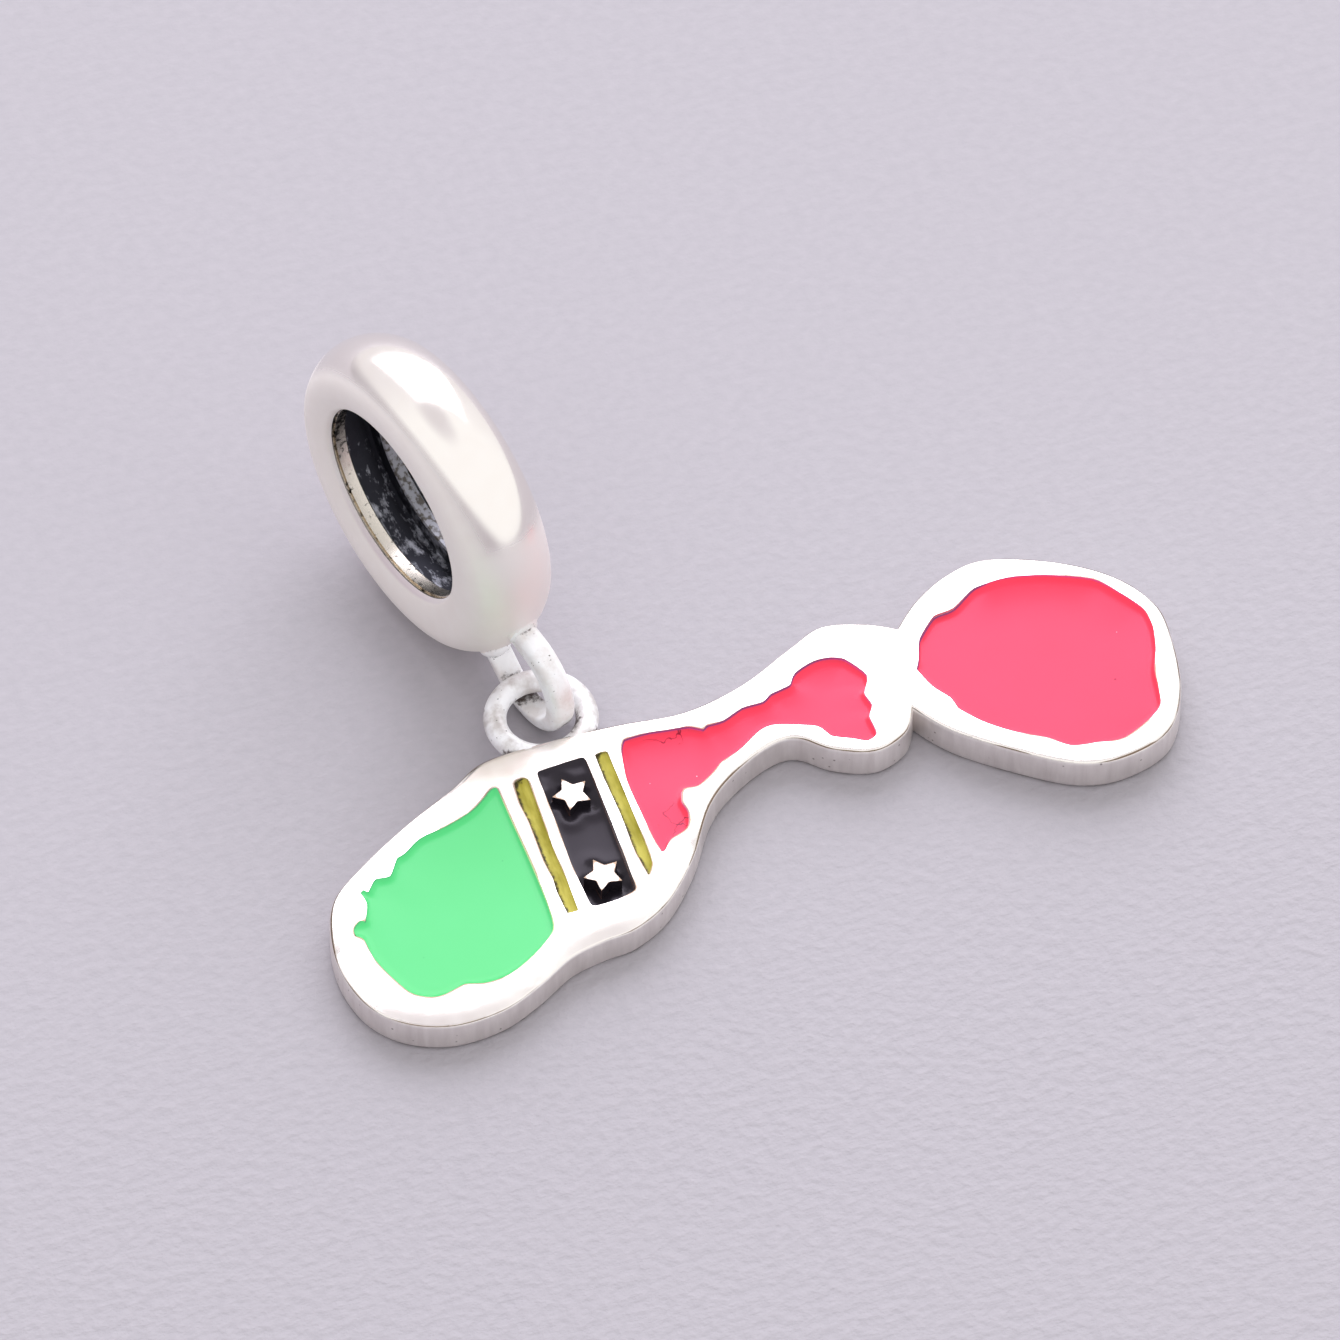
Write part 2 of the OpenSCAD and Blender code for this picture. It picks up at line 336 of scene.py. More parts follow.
def flat_start(cad, height, name, inside=None):
    """The flat faces of a CAD node at one height, merged to whole faces, as the start of a new piece.
    Only those inside another node's box are kept, if one is named."""
    piece = bpy.data.objects.new(name, frame["nodes"][cad].data.copy())
    bpy.context.scene.collection.objects.link(piece)
    piece.data.materials.clear()
    piece.scale = [1 / MM] * 3
    settle(piece)
    edit(piece)
    bpy.ops.mesh.remove_doubles(threshold=CAD_WELD)
    low, high = (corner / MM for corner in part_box(inside or cad))

    def is_other(face):
        middle = face.calc_center_median()
        return any(abs(v.co.z - height) > CLOSE for v in face.verts) or not (
            low.x < middle.x < high.x and low.y < middle.y < high.y)

    pick(piece, "FACE", is_other)
    bpy.ops.mesh.delete(type="FACE")
    bpy.ops.mesh.select_all(action="SELECT")
    bpy.ops.mesh.dissolve_limited(angle_limit=math.radians(FLAT_ANGLE))
    done()
    return piece


def raised_start(cad, height, name, rise, inside=None):
    """The flat faces of a CAD node at one height, as a closed block above it."""
    piece = flat_start(cad, height, name, inside)
    edit(piece)
    extrude((0, 0, rise))
    face_out()
    done()
    return piece


def cut_grid(piece, spacing):
    """Cuts a piece into upright slices both ways."""
    edit(piece)
    points = [v.co for v in piece.data.vertices]
    for side in range(2):
        low = min(p[side] for p in points)
        high = max(p[side] for p in points)
        count = int((high - low) / spacing)
        for step in range(1, count):
            at = Vector((0, 0, 0))
            way = Vector((0, 0, 0))
            at[side] = low + (high - low) * step / count
            way[side] = 1
            bpy.ops.mesh.select_all(action="SELECT")
            bpy.ops.mesh.bisect(plane_co=at, plane_no=way, threshold=SLICE_SNAP)
    done()


def finish_piece(piece, name, replaced, finishes, smooth=35):
    """Gives a modelled piece its shading, its size in metres, its name, finishes and place on the frame.
    Edges that turn by more than an angle, in degrees, stay sharp."""
    piece.name = name
    piece.scale = [MM] * 3
    edit(piece)
    bpy.ops.mesh.faces_shade_smooth()
    pick(piece, "EDGE", lambda e: e.calc_face_angle(0) > math.radians(smooth))
    bpy.ops.mesh.mark_sharp()
    done()
    settle(piece)
    piece.data.materials.clear()
    for finish in finishes:
        piece.data.materials.append(finish)
    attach(piece, "root")
    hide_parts(replaced)


def paint(piece, finish, test):
    """Gives the faces that pass a test one of the piece's finishes."""
    index = piece.data.materials.find(finish.name)
    for face in piece.data.polygons:
        if test(face):
            face.material_index = index


def part_finishes(piece, alike):
    """Makes the edges sharp where one of the finishes that are alike meets any other."""
    own = {piece.data.materials.find(finish.name) for finish in alike}

    def parts(edge):
        met = {face.material_index for face in edge.link_faces}
        return len(met) == 2 and len(met - own) == 1

    edit(piece)
    pick(piece, "EDGE", parts)
    bpy.ops.mesh.mark_sharp()
    done()


def colour(code):
    """An sRGB hex value as linear colour."""
    parts = [int(code[i:i + 2], 16) / 255 for i in (1, 3, 5)]
    return [p / 12.92 if p <= 0.04045 else ((p + 0.055) / 1.055) ** 2.4 for p in parts] + [1]


def node(tree, kind, inputs=None, **settings):
    """Adds a node; an input is a value, or a node and the name of its output."""
    made = tree.nodes.new("ShaderNode" + kind)
    for name, value in settings.items():
        setattr(made, name, value)
    for name, value in (inputs or {}).items():
        if isinstance(value, tuple) and isinstance(value[0], bpy.types.Node):
            tree.links.new(value[0].outputs[value[1]], made.inputs[name])
        else:
            made.inputs[name].default_value = value
    return made


def material(name):
    """An empty node material."""
    made = bpy.data.materials.new(name)
    made.use_nodes = True
    made.node_tree.nodes.clear()
    return made, made.node_tree


# Materials read Object coordinates, which are metres. A pattern's scale is how many of its grains lie in a
# millimetre, over MM, and depths and reaches are millimetres, times MM


def buffed_silver(name, shine):
    """Sterling silver, buffed to a mirror: warm grey-white, with soft waves about a millimetre long that the
    buffing wheel left, and a faint haze. Each piece adds its own wear to what this returns."""
    made, tree = material(name)
    place = node(tree, "TexCoord")
    waves = node(tree, "TexNoise", {"Vector": (place, "Object"), "Scale": 0.9 / MM, "Detail": 1.0})
    haze = node(tree, "TexNoise", {"Vector": (place, "Object"), "Scale": 2.6 / MM, "Detail": 3.0})
    rough = node(tree, "MapRange", {"Value": (haze, "Fac"), "From Min": 0.3, "From Max": 0.75,
                                    "To Min": shine, "To Max": shine + 0.05})
    tint = node(tree, "Mix", {"Factor": (haze, "Fac"), "A": colour("#f8f1ea"), "B": colour("#fcf7f1")},
                data_type="RGBA")
    bump = node(tree, "Bump", {"Height": (waves, "Fac"), "Strength": 0.12, "Distance": 0.03 * MM})
    shader = node(tree, "BsdfPrincipled", {"Metallic": 1.0, "Base Color": (tint, "Result"),
                                           "Roughness": (rough, "Result"), "Normal": (bump, "Normal")})
    node(tree, "OutputMaterial", {"Surface": (shader, "BSDF")})
    return made, place, tint, rough, shader


def bead_silver():
    """The bead's buffed silver. The wheel missed its near side and its lower part, which are left satin, and
    its front is painted greyer towards the floor, as painted shade."""
    made, place, tint, rough, shader = buffed_silver("buffed_silver_bead", 0.13)
    tree = made.node_tree
    near_side = (-0.85, -0.35, -0.4)
    satin_below = 6.6 * MM
    satin_band = 0.8 * MM
    facing = node(tree, "NewGeometry")
    side = node(tree, "VectorMath", {0: (facing, "Normal"), 1: near_side}, operation="DOT_PRODUCT")
    sideways = node(tree, "MapRange", {"Value": (side, "Value"), "From Min": 0.2, "From Max": 0.6},
                    interpolation_type="SMOOTHSTEP")
    split = node(tree, "SeparateXYZ", {"Vector": (place, "Object")})
    low = node(tree, "MapRange", {"Value": (split, "Z"), "From Min": satin_below,
                                  "From Max": satin_below - satin_band}, interpolation_type="SMOOTHSTEP")
    dull = node(tree, "Math", {0: (sideways, "Result"), 1: (low, "Result")}, operation="MAXIMUM")
    rougher = node(tree, "Mix", {"Factor": (dull, "Value"), "A": (rough, "Result"), "B": 0.55})
    scatter = node(tree, "Mix", {"Factor": (dull, "Value"), "A": 1.0, "B": 0.35})
    # Painted shade: the front's colour turns greyer the nearer it lies to the floor
    front = node(tree, "Math", {0: (low, "Result"), 1: (sideways, "Result")}, operation="SUBTRACT",
                 use_clamp=True)
    deep = node(tree, "MapRange", {"Value": (split, "Z"), "From Min": 0.45 * satin_below,
                                   "From Max": 0.2 * satin_below})
    grey = node(tree, "Mix", {"Factor": (deep, "Result"), "A": colour("#f2ecea"), "B": colour("#d6c8cb")},
                data_type="RGBA")
    greyed = node(tree, "Mix", {"Factor": (front, "Value"), "A": (tint, "Result"), "B": (grey, "Result")},
                  data_type="RGBA")
    tree.links.new(greyed.outputs["Result"], shader.inputs["Base Color"])
    tree.links.new(rougher.outputs["Result"], shader.inputs["Roughness"])
    tree.links.new(scatter.outputs["Result"], shader.inputs["Metallic"])
    return made


def plate_silver():
    """The plate's buffed silver. Its rims are painted brown in patches along their edges and where the top
    turns down to the sides, as painted shade.
    """
    made, place, tint, _, shader = buffed_silver("buffed_silver_plate", 0.18)
    tree = made.node_tree
    # Painted shade: brown along the rims' edges and where the top turns down to the sides
    inside = node(tree, "AmbientOcclusion", {"Distance": 0.1 * MM}, samples=8, inside=True, only_local=True)
    patch = node(tree, "TexNoise", {"Vector": (place, "Object"), "Scale": 0.45 / MM, "Detail": 3.0})
    kept = node(tree, "MapRange", {"Value": (patch, "Fac"), "From Min": 0.42, "From Max": 0.58,
                                   "To Min": 0.3, "To Max": 0.9})
    facing = node(tree, "NewGeometry")
    upward = node(tree, "SeparateXYZ", {"Vector": (facing, "Normal")})
    level = node(tree, "MapRange", {"Value": (upward, "Z"), "From Min": 0.75, "From Max": 0.95,
                                    "To Min": 0.3})
    least = node(tree, "Math", {0: (inside, "AO"), 1: (level, "Result")}, operation="MINIMUM")
    both = node(tree, "Math", {0: (least, "Value"), 1: (kept, "Result")}, operation="ADD")
    clean = node(tree, "MapRange", {"Value": (both, "Value"), "From Min": 0.95, "From Max": 1.25})
    stained = node(tree, "Mix", {"Factor": (clean, "Result"), "A": colour("#84705f"), "B": (tint, "Result")},
                   data_type="RGBA")
    tree.links.new(stained.outputs["Result"], shader.inputs["Base Color"])
    return made


def cast_silver():
    """Cast silver that was tumbled and not buffed: satin, with upright file marks and small pits. The marks
    are drawn at five to a millimetre, coarser than real ones, to show."""
    made, tree = material("satin_cast_silver")
    place = node(tree, "TexCoord")
    streaks = node(tree, "Mapping", {"Vector": (place, "Object"), "Scale": (1.0, 1.0, 0.15)})
    marks = node(tree, "TexNoise", {"Vector": (streaks, "Vector"), "Scale": 5.2 / MM, "Detail": 4.0})
    blotch = node(tree, "TexNoise", {"Vector": (place, "Object"), "Scale": 1.5 / MM, "Detail": 3.0})
    pits = node(tree, "TexVoronoi", {"Vector": (place, "Object"), "Scale": 2.6 / MM})
    rough = node(tree, "MapRange", {"Value": (blotch, "Fac"), "From Min": 0.3, "From Max": 0.7,
                                    "To Min": 0.3, "To Max": 0.46})
    tint = node(tree, "Mix", {"Factor": (marks, "Fac"), "A": colour("#dcd4d0"), "B": colour("#fffaf6")},
                data_type="RGBA")
    spot = node(tree, "MapRange", {"Value": (pits, "Distance"), "From Min": 0.04, "From Max": 0.1})
    spotted = node(tree, "Mix", {"Factor": (spot, "Result"), "A": colour("#a59b96"), "B": (tint, "Result")},
                   data_type="RGBA")
    bump = node(tree, "Bump", {"Height": (marks, "Fac"), "Strength": 0.35, "Distance": 0.02 * MM})
    shader = node(tree, "BsdfPrincipled", {"Metallic": 0.85, "Base Color": (spotted, "Result"),
                                           "Roughness": (rough, "Result"), "Normal": (bump, "Normal")})
    node(tree, "OutputMaterial", {"Surface": (shader, "BSDF")})
    return made


def soldered_silver(name, grey, metallic):
    """Silver that was soldered and pickled: frosted white, mottled with a given grey, with fine pits and
    grime in crevices, and with brown painted shade where two pieces nearly touch."""
    made, tree = material(name)
    place = node(tree, "TexCoord")
    mottle = node(tree, "TexNoise", {"Vector": (place, "Object"), "Scale": 1.5 / MM, "Detail": 4.0,
                                     "Roughness": 0.6})
    fine = node(tree, "TexNoise", {"Vector": (place, "Object"), "Scale": 9.0 / MM, "Detail": 2.0})
    patch = node(tree, "MapRange", {"Value": (mottle, "Fac"), "From Min": 0.38, "From Max": 0.56})
    rough = node(tree, "MapRange", {"Value": (mottle, "Fac"), "From Min": 0.35, "From Max": 0.65,
                                    "To Min": 0.4, "To Max": 0.6})
    tint = node(tree, "Mix", {"Factor": (patch, "Result"), "A": colour(grey), "B": colour("#ffffff")},
                data_type="RGBA")
    crevice = node(tree, "AmbientOcclusion", {"Distance": 0.3 * MM}, samples=8)
    both = node(tree, "Math", {0: (crevice, "AO"), 1: (fine, "Fac")}, operation="ADD")
    oxide = node(tree, "MapRange", {"Value": (both, "Value"), "From Min": 1.0, "From Max": 1.2})
    pit = node(tree, "MapRange", {"Value": (fine, "Fac"), "From Min": 0.24, "From Max": 0.3})
    clean = node(tree, "Math", {0: (oxide, "Result"), 1: (pit, "Result")}, operation="MINIMUM")
    spotted = node(tree, "Mix", {"Factor": (clean, "Value"), "A": colour("#5a4e4a"), "B": (tint, "Result")},
                   data_type="RGBA")
    # Painted shade: near-black brown where two pieces nearly touch
    touch = node(tree, "AmbientOcclusion", {"Distance": 0.12 * MM}, samples=8)
    apart = node(tree, "MapRange", {"Value": (touch, "AO"), "From Min": 0.35, "From Max": 0.65})
    stained = node(tree, "Mix", {"Factor": (apart, "Result"), "A": colour("#2e1914"),
                                 "B": (spotted, "Result")}, data_type="RGBA")
    bump = node(tree, "Bump", {"Height": (mottle, "Fac"), "Strength": 0.5, "Distance": 0.07 * MM})
    shader = node(tree, "BsdfPrincipled", {"Metallic": metallic, "Base Color": (stained, "Result"),
                                           "Roughness": (rough, "Result"), "Normal": (bump, "Normal")})
    node(tree, "OutputMaterial", {"Surface": (shader, "BSDF")})
    return made


def oxidised_silver():
    """The bead's hollow, blackened with sulphur: near black, with lighter streaks round the bore where it was
    rubbed, most at the bottom."""
    made, tree = material("oxidised_silver")
    place = node(tree, "TexCoord")
    along = node(tree, "VectorRotate", {"Vector": (place, "Object"), "Axis": (0, 0, 1),
                                        "Angle": -math.atan2(BORE_AXIS.y, BORE_AXIS.x)})
    drawn = node(tree, "Mapping", {"Vector": (along, "Vector"), "Scale": (2.4, 1.0, 1.0)})
    rubbed = node(tree, "TexNoise", {"Vector": (drawn, "Vector"), "Scale": 1.7 / MM, "Detail": 5.0,
                                     "Roughness": 0.72})
    split = node(tree, "SeparateXYZ", {"Vector": (place, "Object")})
    high = node(tree, "MapRange", {"Value": (split, "Z"), "From Min": 1.5 * MM, "From Max": 5.5 * MM,
                                   "To Min": 0.0, "To Max": 0.22})
    worn = node(tree, "Math", {0: (rubbed, "Fac"), 1: (high, "Result")}, operation="SUBTRACT")
    bare = node(tree, "MapRange", {"Value": (worn, "Value"), "From Min": 0.5, "From Max": 0.64})
    tint = node(tree, "Mix", {"Factor": (bare, "Result"), "A": colour("#2c2c34"), "B": colour("#b6b7c0")},
                data_type="RGBA")
    bump = node(tree, "Bump", {"Height": (rubbed, "Fac"), "Strength": 0.5, "Distance": 0.05 * MM})
    shader = node(tree, "BsdfPrincipled", {"Metallic": 0.7, "Base Color": (tint, "Result"),
                                           "Roughness": 0.42, "Normal": (bump, "Normal")})
    node(tree, "OutputMaterial", {"Surface": (shader, "BSDF")})
    return made


def lip_silver():
    """The lips' inner faces: silver yellowed by the blackening bath and speckled dark, most at the top of the
    near one, and left grey on the far one."""
    made, tree = material("yellowed_silver")
    place = node(tree, "TexCoord")
    speck = node(tree, "TexNoise", {"Vector": (place, "Object"), "Scale": 7.0 / MM, "Detail": 4.0})
    along = node(tree, "VectorMath", {0: (place, "Object"), 1: tuple(BORE_AXIS)}, operation="DOT_PRODUCT")
    middle = BEAD_AT.dot(BORE_AXIS) * MM
    far = node(tree, "MapRange", {"Value": (along, "Value"), "From Min": middle,
                                  "From Max": middle + 0.3 * MM})
    split = node(tree, "SeparateXYZ", {"Vector": (place, "Object")})
    high = node(tree, "MapRange", {"Value": (split, "Z"), "From Min": 3.4 * MM, "From Max": 5.8 * MM,
                                   "To Min": 0.35, "To Max": 0.6})
    oxide = node(tree, "Math", {0: (far, "Result"), 1: 0.12, 2: (high, "Result")},
                 operation="MULTIPLY_ADD")
    dark = node(tree, "Math", {0: (speck, "Fac"), 1: (oxide, "Value")}, operation="SUBTRACT")
    clean = node(tree, "MapRange", {"Value": (dark, "Value"), "From Min": -0.06, "From Max": 0.06})
    base = node(tree, "Mix", {"Factor": (far, "Result"), "A": colour("#f1e9dc"), "B": colour("#8d8d92")},
                data_type="RGBA")
    tint = node(tree, "Mix", {"Factor": (clean, "Result"), "A": colour("#57534f"), "B": (base, "Result")},
                data_type="RGBA")
    rough = node(tree, "MapRange", {"Value": (far, "Result"), "To Min": 0.26, "To Max": 0.5})
    shader = node(tree, "BsdfPrincipled", {"Metallic": 1.0, "Base Color": (tint, "Result"),
                                           "Roughness": (rough, "Result")})
    node(tree, "OutputMaterial", {"Surface": (shader, "BSDF")})
    return made


def enamel(name, body, dust, shores, haze, index, rough, cracks=()):
    """Cold enamel, poured and cured: an opaque glossy resin with dust specks and a slightly wavy face. Its
    body has two tints, and its dust a dark and a light one. Each painted shore is a colour painted in a thin
    line beside the wall on one side, and the way to that side: painted wall shade on the upper sides and
    painted reflections of light on the lower ones. The haze tints its gloss. Hairline cracks, in the colour
    of its dark dust, can run round given places."""
    made, tree = material(name)
    place = node(tree, "TexCoord")
    cloud = node(tree, "TexNoise", {"Vector": (place, "Object"), "Scale": 0.42 / MM, "Detail": 2.0})
    tint = node(tree, "Mix", {"Factor": (cloud, "Fac"), "A": colour(body[0]), "B": colour(body[1])},
                data_type="RGBA")
    for speck, (count, size) in zip(dust, DUST):
        # Each dust is moved by its own size in metres, so that the two do not lie in step
        moved = node(tree, "Mapping", {"Vector": (place, "Object"), "Location": (size, 0.0, 0.0)})
        cells = node(tree, "TexVoronoi", {"Vector": (moved, "Vector"), "Scale": count / MM})
        clean = node(tree, "MapRange", {"Value": (cells, "Distance"), "From Min": size,
                                        "From Max": 1.5 * size})
        tint = node(tree, "Mix", {"Factor": (clean, "Result"), "A": colour(speck), "B": (tint, "Result")},
                    data_type="RGBA")
    for spot, reach in cracks:
        from_spot = node(tree, "VectorMath", {0: (place, "Object"), 1: Vector(spot) * MM},
                         operation="DISTANCE")
        away = node(tree, "MapRange", {"Value": (from_spot, "Value"), "From Min": 0.7 * reach * MM,
                                       "From Max": reach * MM})
        # A crack runs where a noise passes its middle value
        wander = node(tree, "TexNoise", {"Vector": (place, "Object"), "Scale": 1.1 / MM, "Detail": 3.0})
        off_line = node(tree, "Math", {0: (wander, "Fac"), 1: 0.5}, operation="SUBTRACT")
        beside = node(tree, "Math", {0: (off_line, "Value")}, operation="ABSOLUTE")
        whole = node(tree, "MapRange", {"Value": (beside, "Value"), "From Min": 0.002, "From Max": 0.011})
        kept = node(tree, "Math", {0: (away, "Result"), 1: (whole, "Result")}, operation="MAXIMUM")
        tint = node(tree, "Mix", {"Factor": (kept, "Value"), "A": colour(dust[0]), "B": (tint, "Result")},
                    data_type="RGBA")
    # Painted light and shade: a thin line of each shore's colour beside the wall on its side
    for shore, side in shores:
        way = node(tree, "CombineXYZ", {"X": side[0], "Y": side[1], "Z": side[2]})
        near = node(tree, "AmbientOcclusion", {"Distance": 0.05 * MM, "Normal": (way, "Vector")}, samples=8)
        thick = node(tree, "MapRange", {"Value": (near, "AO"), "From Min": 0.3, "From Max": 0.6})
        tint = node(tree, "Mix", {"Factor": (thick, "Result"), "A": colour(shore), "B": (tint, "Result")},
                    data_type="RGBA")
    wave = node(tree, "TexNoise", {"Vector": (place, "Object"), "Scale": 0.5 / MM, "Detail": 1.0})
    bump = node(tree, "Bump", {"Height": (wave, "Fac"), "Strength": 0.15, "Distance": 0.03 * MM})
    shader = node(tree, "BsdfPrincipled", {"Base Color": (tint, "Result"), "Roughness": rough, "IOR": index,
                                           "Specular Tint": colour(haze), "Normal": (bump, "Normal")})
    node(tree, "OutputMaterial", {"Surface": (shader, "BSDF")})
    return made


def streaked_enamel(name):
    """Olive cold enamel dragged into a narrow slot: streaked along it, with dark brown painted shade along
    the slot's left wall, broken up by grit, and duller than the poured fields."""
    made, tree = material(name)
    place = node(tree, "TexCoord")
    drawn = node(tree, "Mapping", {"Vector": (place, "Object"), "Scale": (1.0, 0.25, 1.0)})
    streak = node(tree, "TexNoise", {"Vector": (drawn, "Vector"), "Scale": 6.5 / MM, "Detail": 3.0})
    patch = node(tree, "TexNoise", {"Vector": (place, "Object"), "Scale": 1.5 / MM, "Detail": 2.0})
    both = node(tree, "Math", {0: (streak, "Fac"), 1: (patch, "Fac")}, operation="ADD")
    light = node(tree, "MapRange", {"Value": (both, "Value"), "From Min": 0.8, "From Max": 1.2})
    tint = node(tree, "Mix", {"Factor": (light, "Result"), "A": colour("#a1972a"), "B": colour("#c4ba4e")},
                data_type="RGBA")
    grit = node(tree, "TexNoise", {"Vector": (place, "Object"), "Scale": 9.0 / MM, "Detail": 3.0})
    # Painted shade: dark brown specks beside the slot's left wall
    way = node(tree, "CombineXYZ", {"X": SLOT_LEFT[0], "Y": SLOT_LEFT[1], "Z": SLOT_LEFT[2]})
    near = node(tree, "AmbientOcclusion", {"Distance": 0.13 * MM, "Normal": (way, "Vector")}, samples=8)
    open_air = node(tree, "Math", {0: (near, "AO"), 1: (grit, "Fac")}, operation="ADD")
    clean = node(tree, "MapRange", {"Value": (open_air, "Value"), "From Min": 0.8, "From Max": 1.05})
    edged = node(tree, "Mix", {"Factor": (clean, "Result"), "A": colour("#3c3412"), "B": (tint, "Result")},
                 data_type="RGBA")
    bump = node(tree, "Bump", {"Height": (streak, "Fac"), "Strength": 0.5, "Distance": 0.04 * MM})
    shader = node(tree, "BsdfPrincipled", {"Base Color": (edged, "Result"), "Roughness": 0.4, "IOR": 1.3,
                                           "Normal": (bump, "Normal")})
    node(tree, "OutputMaterial", {"Surface": (shader, "BSDF")})
    return made


def photo_card():
    """The card under the charm: matt, pale lavender grey, with a fine leathery grain that is rubbed flatter
    towards its back."""
    made, tree = material("matt_grey_card")
    place = node(tree, "TexCoord")
    drawn = node(tree, "Mapping", {"Vector": (place, "Object"), "Scale": (0.75, 1.0, 1.0)})
    grain = node(tree, "TexNoise", {"Vector": (drawn, "Vector"), "Scale": 3.8 / MM, "Detail": 4.0})
    tint = node(tree, "Mix", {"Factor": (grain, "Fac"), "A": colour("#aaa6ab"), "B": colour("#b6b1b6")},
                data_type="RGBA")
    split = node(tree, "SeparateXYZ", {"Vector": (place, "Object")})
    front = node(tree, "MapRange", {"Value": (split, "Y"), "From Min": 8 * MM, "From Max": -12 * MM,
                                    "To Min": 0.2, "To Max": 1.0})
    relief = node(tree, "Math", {0: (grain, "Fac"), 1: (front, "Result")}, operation="MULTIPLY")
    bump = node(tree, "Bump", {"Height": (relief, "Value"), "Strength": 0.5, "Distance": 0.14 * MM})
    shader = node(tree, "BsdfPrincipled", {"Base Color": (tint, "Result"), "Roughness": 0.8,
                                           "Normal": (bump, "Normal")})
    node(tree, "OutputMaterial", {"Surface": (shader, "BSDF")})
    return made


def bead_line():
    """Half of the bead's section from the crown's middle to the hollow's, on one side, with the points where
    the side and the lip's roll end."""
    shoulder = math.degrees(math.atan2(SHOULDER_AT, WIDE_R - CROWN_AT))
    side_at = HALF_W - SIDE_R
    turn = math.radians(SIDE_END)
    end = Vector((WIDE_R + SIDE_R * math.cos(turn), 0, side_at + SIDE_R * math.sin(turn)))
    roll = end - LIP_ROLL * Vector((math.cos(turn), 0, math.sin(turn)))
    line = arc((CROWN_AT, 0), CROWN_R, 0, shoulder, CROWN_STEPS)
    line += arc((WIDE_R, SHOULDER_AT), SHOULDER_R, shoulder, 90, ARC_STEPS)[1:]
    line += arc((WIDE_R, side_at), SIDE_R, 90, SIDE_END, ARC_STEPS)[1:]
    line += arc((roll.x, roll.z), LIP_ROLL, SIDE_END, 180, ARC_STEPS)[1:]
    rim = line[-1]
    inside = [
        (rim.x + GROOVE, rim.z - GROOVE_SLOPES[0]),
        (rim.x + GROOVE, LIP_FROM + GROOVE_SLOPES[1]),
        (LIP_R, LIP_FROM),
        (LIP_R, HOLLOW_W + LIP_BREAK),
        (LIP_R + LIP_BREAK, HOLLOW_W),
        (HOLLOW_R - HOLLOW_BREAK, HOLLOW_W),
        (HOLLOW_R, HOLLOW_W - HOLLOW_BREAK),
        (HOLLOW_R, 0),
    ]
    line += [Vector((out, 0, up)) for out, up in inside]
    return line, end, rim


def make_bail():
    """The bail's strip: two bridged circles, open towards the bead, with a leg at each end."""
    rings = []
    for centre, radius in (BAIL_OUTER, BAIL_INNER):
        bpy.ops.object.select_all(action="DESELECT")
        bpy.ops.mesh.primitive_circle_add(vertices=BAIL_STEPS, radius=radius, location=centre)
        rings.append(bpy.context.object)
        settle(rings[-1])
    strip, inner = rings
    only(strip)
    inner.select_set(True)
    bpy.ops.object.join()
    edit(strip)
    bpy.ops.mesh.select_mode(type="EDGE")
    bpy.ops.mesh.select_all(action="SELECT")
    bpy.ops.mesh.bridge_edge_loops()
    middle = (BAIL_OUTER[0] + BAIL_INNER[0]) / 2
    opens = (90 - math.degrees(LEG_UP), 270 - math.degrees(LEG_LOW))

    def turn_of(place):
        away = place - middle
        return math.degrees(math.atan2(away.y, away.x)) % 360

    pick(strip, "FACE", lambda f: opens[0] < turn_of(f.calc_center_median()) < opens[1])
    bpy.ops.mesh.delete(type="FACE")
    for at, lean in zip(opens, (LEG_UP, LEG_LOW)):
        pick(strip, "EDGE", lambda e: e.is_boundary and e.calc_length() > END_LONG
             and all(abs(turn_of(v.co) - at) < END_TURN for v in e.verts))
        extrude(LEG_LONG * Vector((-math.cos(lean), math.sin(lean), 0)))
    bpy.ops.mesh.select_all(action="SELECT")
    extrude((0, 0, BAIL_W))
    face_out()

    def is_long_edge(edge):
        faces = edge.link_faces
        return len(faces) == 2 and abs(abs(faces[0].normal.z) - abs(faces[1].normal.z)) > EDGE_TURN

    def is_outside(edge):
        away = (edge.verts[0].co + edge.verts[1].co) / 2 - middle
        face = min(edge.link_faces, key=lambda f: abs(f.normal.z))
        return face.normal.x * away.x + face.normal.y * away.y > 0

    for outside, (offset, steps) in ((True, BAIL_CROWN), (False, BAIL_INSIDE)):
        pick(strip, "EDGE", lambda e: is_long_edge(e) and is_outside(e) == outside)
        bpy.ops.mesh.bevel(offset=offset, segments=steps, affect="EDGES", clamp_overlap=False)
    done()
    return strip


